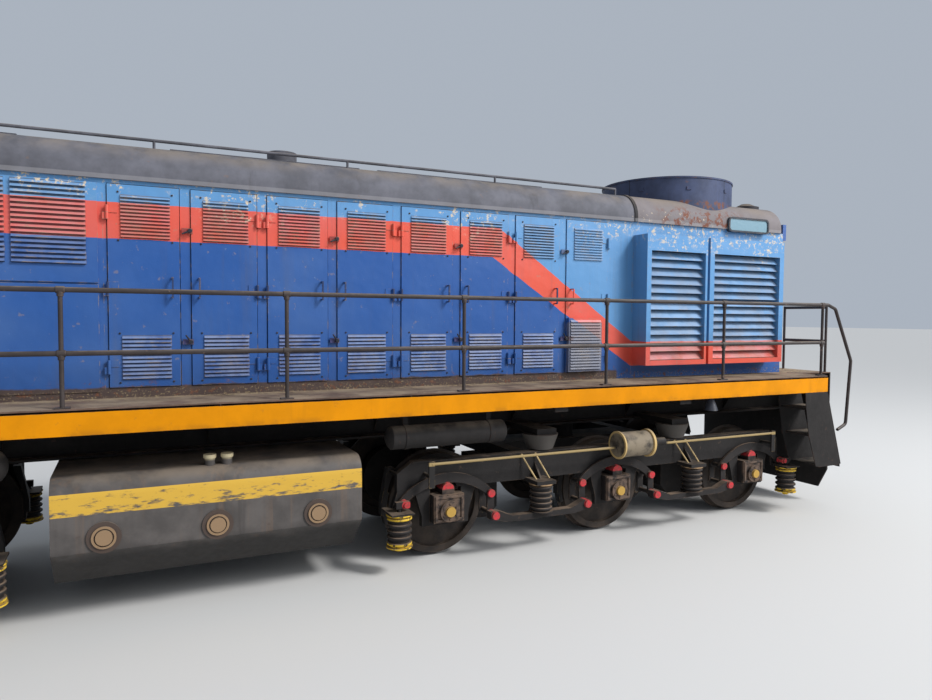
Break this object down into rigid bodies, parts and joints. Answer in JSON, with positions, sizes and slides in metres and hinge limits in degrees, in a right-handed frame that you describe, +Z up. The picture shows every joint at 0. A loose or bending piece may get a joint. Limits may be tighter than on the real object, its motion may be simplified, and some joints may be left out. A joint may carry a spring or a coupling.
{
  "type": "six-axle diesel shunting locomotive",
  "caption": "Hood type diesel locomotive with walkways, side doors, radiator shutters, a roof fan ring, a cab near one end, a slung fuel tank and two three-axle bogies.",
  "frame": {"origin": "on the flat ground under the wheel flanges, below the middle of the locomotive", "axes": "+X along the track to the radiator end, +Y to the locomotive's left, +Z up"},
  "size_m": [16.97, 3.08, 4.5998],
  "materials": {
    "hood_blue": "weathered gloss paint",
    "door_blue": "weathered gloss paint",
    "shutter_blue": "weathered gloss paint",
    "roof_grey": "matt sooty paint",
    "ring_grey": "matt paint",
    "fan_metal": "matt paint",
    "frame_black": "dirty matt paint",
    "cast_steel": "rusty casting",
    "deck_brown": "worn rusty plate",
    "fascia_yellow": "semi gloss paint",
    "rail_paint": "worn paint",
    "window_glass": "clear",
    "lamp_grey": "gloss paint",
    "tank_grey": "worn paint",
    "engine_paint": "oily paint",
    "bogie_black": "oily dirt",
    "wheel_steel": "rolled steel with rust"
  },
  "bodies": {
    "body": {"air_reservoirs": "frame_black", "cab_glass": "window_glass", "cab_roof": "roof_grey", "cab_shell": "hood_blue", "corner_stairs": "frame_black", "couplers": "cast_steel", "end_railings": "rail_paint", "engine_block": "engine_paint", "engine_hood_frame": "hood_blue", "fan_ring": "ring_grey", "fuel_tank": "tank_grey", "generator_casing": "hood_blue", "hood_roof": "roof_grey", "lamps": "lamp_grey", "main_frame": "frame_black", "radiator_casing": "hood_blue", "radiator_roof": "roof_grey", "radiator_shutters": "shutter_blue", "rear_hood": "hood_blue", "roof_fittings": "roof_grey", "side_railings": "rail_paint", "walkway_deck": "deck_brown", "walkway_fascia": "fascia_yellow"},
    "engine_door_right_1": {"engine_door_right_1": "door_blue"},
    "engine_door_right_2": {"engine_door_right_2": "door_blue"},
    "engine_door_right_3": {"engine_door_right_3": "door_blue"},
    "engine_door_right_4": {"engine_door_right_4": "door_blue"},
    "engine_door_right_5": {"engine_door_right_5": "door_blue"},
    "engine_door_right_6": {"engine_door_right_6": "door_blue"},
    "engine_door_right_7": {"engine_door_right_7": "door_blue"},
    "engine_door_right_8": {"engine_door_right_8": "door_blue"},
    "engine_door_left_1": {"engine_door_left_1": "door_blue"},
    "engine_door_left_2": {"engine_door_left_2": "door_blue"},
    "engine_door_left_3": {"engine_door_left_3": "door_blue"},
    "engine_door_left_4": {"engine_door_left_4": "door_blue"},
    "engine_door_left_5": {"engine_door_left_5": "door_blue"},
    "engine_door_left_6": {"engine_door_left_6": "door_blue"},
    "engine_door_left_7": {"engine_door_left_7": "door_blue"},
    "engine_door_left_8": {"engine_door_left_8": "door_blue"},
    "rear_door_right_1": {"rear_door_right_1": "door_blue"},
    "rear_door_right_2": {"rear_door_right_2": "door_blue"},
    "rear_door_left_1": {"rear_door_left_1": "door_blue"},
    "rear_door_left_2": {"rear_door_left_2": "door_blue"},
    "cab_door_front": {"cab_door_front": "door_blue"},
    "cab_door_rear": {"cab_door_rear": "door_blue"},
    "cooling_fan": {"cooling_fan": "fan_metal"},
    "front_bogie": {"front_bogie_frame": "bogie_black", "front_axle_gear": "bogie_black", "front_brake_gear": "bogie_black"},
    "front_wheelset_1": {"front_wheelset_1": "wheel_steel"},
    "front_wheelset_2": {"front_wheelset_2": "wheel_steel"},
    "front_wheelset_3": {"front_wheelset_3": "wheel_steel"},
    "rear_bogie": {"rear_bogie_frame": "bogie_black", "rear_axle_gear": "bogie_black", "rear_brake_gear": "bogie_black"},
    "rear_wheelset_1": {"rear_wheelset_1": "wheel_steel"},
    "rear_wheelset_2": {"rear_wheelset_2": "wheel_steel"},
    "rear_wheelset_3": {"rear_wheelset_3": "wheel_steel"}
  },
  "joints": [
    {"name": "engine_door_right_1_hinge", "type": "hinge", "parent": "body", "child": "engine_door_right_1", "pos_m": [-0.819, -0.899, 2.7], "axis": [0, 0, -1], "range_deg": [0, 85]},
    {"name": "engine_door_right_2_hinge", "type": "hinge", "parent": "body", "child": "engine_door_right_2", "pos_m": [0.402, -0.899, 2.7], "axis": [0, 0, 1], "range_deg": [0, 85]},
    {"name": "engine_door_right_3_hinge", "type": "hinge", "parent": "body", "child": "engine_door_right_3", "pos_m": [0.491, -0.899, 2.7], "axis": [0, 0, -1], "range_deg": [0, 85]},
    {"name": "engine_door_right_4_hinge", "type": "hinge", "parent": "body", "child": "engine_door_right_4", "pos_m": [1.712, -0.899, 2.7], "axis": [0, 0, 1], "range_deg": [0, 85]},
    {"name": "engine_door_right_5_hinge", "type": "hinge", "parent": "body", "child": "engine_door_right_5", "pos_m": [1.801, -0.899, 2.7], "axis": [0, 0, -1], "range_deg": [0, 85]},
    {"name": "engine_door_right_6_hinge", "type": "hinge", "parent": "body", "child": "engine_door_right_6", "pos_m": [3.022, -0.899, 2.7], "axis": [0, 0, 1], "range_deg": [0, 85]},
    {"name": "engine_door_right_7_hinge", "type": "hinge", "parent": "body", "child": "engine_door_right_7", "pos_m": [3.111, -0.899, 2.7], "axis": [0, 0, -1], "range_deg": [0, 85]},
    {"name": "engine_door_right_8_hinge", "type": "hinge", "parent": "body", "child": "engine_door_right_8", "pos_m": [4.332, -0.899, 2.7], "axis": [0, 0, 1], "range_deg": [0, 85]},
    {"name": "engine_door_left_1_hinge", "type": "hinge", "parent": "body", "child": "engine_door_left_1", "pos_m": [-0.819, 0.899, 2.7], "axis": [0, 0, 1], "range_deg": [0, 85]},
    {"name": "engine_door_left_2_hinge", "type": "hinge", "parent": "body", "child": "engine_door_left_2", "pos_m": [0.402, 0.899, 2.7], "axis": [0, 0, -1], "range_deg": [0, 85]},
    {"name": "engine_door_left_3_hinge", "type": "hinge", "parent": "body", "child": "engine_door_left_3", "pos_m": [0.491, 0.899, 2.7], "axis": [0, 0, 1], "range_deg": [0, 85]},
    {"name": "engine_door_left_4_hinge", "type": "hinge", "parent": "body", "child": "engine_door_left_4", "pos_m": [1.712, 0.899, 2.7], "axis": [0, 0, -1], "range_deg": [0, 85]},
    {"name": "engine_door_left_5_hinge", "type": "hinge", "parent": "body", "child": "engine_door_left_5", "pos_m": [1.801, 0.899, 2.7], "axis": [0, 0, 1], "range_deg": [0, 85]},
    {"name": "engine_door_left_6_hinge", "type": "hinge", "parent": "body", "child": "engine_door_left_6", "pos_m": [3.022, 0.899, 2.7], "axis": [0, 0, -1], "range_deg": [0, 85]},
    {"name": "engine_door_left_7_hinge", "type": "hinge", "parent": "body", "child": "engine_door_left_7", "pos_m": [3.111, 0.899, 2.7], "axis": [0, 0, 1], "range_deg": [0, 85]},
    {"name": "engine_door_left_8_hinge", "type": "hinge", "parent": "body", "child": "engine_door_left_8", "pos_m": [4.332, 0.899, 2.7], "axis": [0, 0, -1], "range_deg": [0, 85]},
    {"name": "rear_door_right_1_hinge", "type": "hinge", "parent": "body", "child": "rear_door_right_1", "pos_m": [-6.953, -0.899, 2.7], "axis": [0, 0, -1], "range_deg": [0, 85]},
    {"name": "rear_door_right_2_hinge", "type": "hinge", "parent": "body", "child": "rear_door_right_2", "pos_m": [-5.727, -0.899, 2.7], "axis": [0, 0, 1], "range_deg": [0, 85]},
    {"name": "rear_door_left_1_hinge", "type": "hinge", "parent": "body", "child": "rear_door_left_1", "pos_m": [-6.953, 0.899, 2.7], "axis": [0, 0, 1], "range_deg": [0, 85]},
    {"name": "rear_door_left_2_hinge", "type": "hinge", "parent": "body", "child": "rear_door_left_2", "pos_m": [-5.727, 0.899, 2.7], "axis": [0, 0, -1], "range_deg": [0, 85]},
    {"name": "cab_door_front_hinge", "type": "hinge", "parent": "body", "child": "cab_door_front", "pos_m": [-2.973, 0.921, 2.8], "axis": [0, 0, -1], "range_deg": [0, 85]},
    {"name": "cab_door_rear_hinge", "type": "hinge", "parent": "body", "child": "cab_door_rear", "pos_m": [-5.227, -0.921, 2.8], "axis": [0, 0, -1], "range_deg": [0, 85]},
    {"name": "cooling_fan_spin", "type": "hinge", "parent": "body", "child": "cooling_fan", "pos_m": [5.95, 0, 4.04], "axis": [0, 0, 1], "continuous": true},
    {"name": "front_bogie_turn", "type": "hinge", "parent": "body", "child": "front_bogie", "pos_m": [4.3, 0, 1], "axis": [0, 0, 1], "range_deg": [-3, 3]},
    {"name": "front_wheelset_1_spin", "type": "hinge", "parent": "front_bogie", "child": "front_wheelset_1", "pos_m": [2.2, 0, 0.553], "axis": [0, 1, 0], "continuous": true},
    {"name": "front_wheelset_2_spin", "type": "hinge", "parent": "front_bogie", "child": "front_wheelset_2", "pos_m": [4.3, 0, 0.553], "axis": [0, 1, 0], "continuous": true},
    {"name": "front_wheelset_3_spin", "type": "hinge", "parent": "front_bogie", "child": "front_wheelset_3", "pos_m": [6.4, 0, 0.553], "axis": [0, 1, 0], "continuous": true},
    {"name": "rear_bogie_turn", "type": "hinge", "parent": "body", "child": "rear_bogie", "pos_m": [-4.3, 0, 1], "axis": [0, 0, 1], "range_deg": [-3, 3]},
    {"name": "rear_wheelset_1_spin", "type": "hinge", "parent": "rear_bogie", "child": "rear_wheelset_1", "pos_m": [-6.4, 0, 0.553], "axis": [0, 1, 0], "continuous": true},
    {"name": "rear_wheelset_2_spin", "type": "hinge", "parent": "rear_bogie", "child": "rear_wheelset_2", "pos_m": [-4.3, 0, 0.553], "axis": [0, 1, 0], "continuous": true},
    {"name": "rear_wheelset_3_spin", "type": "hinge", "parent": "rear_bogie", "child": "rear_wheelset_3", "pos_m": [-2.2, 0, 0.553], "axis": [0, 1, 0], "continuous": true}
  ]
}
